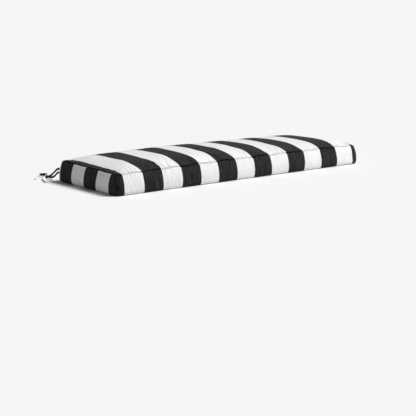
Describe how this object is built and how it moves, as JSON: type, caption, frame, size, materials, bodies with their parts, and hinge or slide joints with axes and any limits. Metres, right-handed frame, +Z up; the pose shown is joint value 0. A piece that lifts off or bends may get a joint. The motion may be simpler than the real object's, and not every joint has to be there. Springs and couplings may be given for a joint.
{
  "type": "bench cushion",
  "caption": "Boxed bench cushion with a crowned top in striped cloth, with knotted ties at the back corners.",
  "frame": {"origin": "middle of the cushion's footprint, on the surface it lies on", "axes": "+X along the cushion's length, +Y from its front to its back, where the ties are, +Z up"},
  "size_m": [1.2172, 0.5427, 0.1042],
  "materials": {
    "striped_cloth": "matte plain weave canvas in broad black and white stripes, even in width",
    "tape_cloth": "matte narrow tape of the same canvas, black with white stretches where it crosses a stripe"
  },
  "bodies": {
    "root": {"cushion": "striped_cloth", "tie_left_upper": "tape_cloth", "tie_left_lower": "tape_cloth", "tie_left_loop": "tape_cloth", "tie_left_tail_short": "tape_cloth", "tie_left_tail_long": "tape_cloth", "tie_left_knot": "tape_cloth", "tie_right_upper": "tape_cloth", "tie_right_lower": "tape_cloth", "tie_right_loop": "tape_cloth", "tie_right_tail_short": "tape_cloth", "tie_right_tail_long": "tape_cloth", "tie_right_knot": "tape_cloth"}
  },
  "joints": []
}
